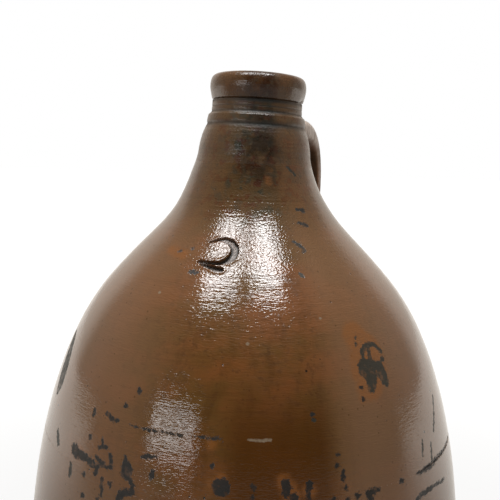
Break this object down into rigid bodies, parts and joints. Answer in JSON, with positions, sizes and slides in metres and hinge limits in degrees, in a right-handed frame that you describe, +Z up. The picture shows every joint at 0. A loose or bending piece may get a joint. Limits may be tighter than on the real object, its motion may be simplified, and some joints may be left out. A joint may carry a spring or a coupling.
{
  "type": "stoneware jug",
  "caption": "Large salt-glazed stoneware jug with a pear-shaped body, reeded neck, thick rounded lip and a strap handle from neck to shoulder.",
  "frame": {"origin": "centre of the flat base, on the surface the jug stands on", "axes": "+Z up along the body's axis; the front with the capacity mark faces -Y; +X is to the right seen from the front; the handle is at the back right"},
  "size_m": [0.2348, 0.2348, 0.3615],
  "materials": {
    "body_glaze": "brown salt glaze over stoneware, glossy with a fine orange-peel and throwing lines",
    "neck_glaze": "darker olive-brown salt glaze with dark grooves",
    "handle_glaze": "brown salt glaze, smoothed lengthwise by pulling",
    "luting_clay": "fired luting clay, thin and matt"
  },
  "bodies": {
    "root": {"lower_body": "body_glaze", "upper_body": "body_glaze", "body_luting_ring": "luting_clay", "neck": "neck_glaze", "neck_luting_ring": "luting_clay", "handle_strap": "handle_glaze", "handle_root": "handle_glaze", "handle_terminal": "handle_glaze"}
  },
  "joints": []
}
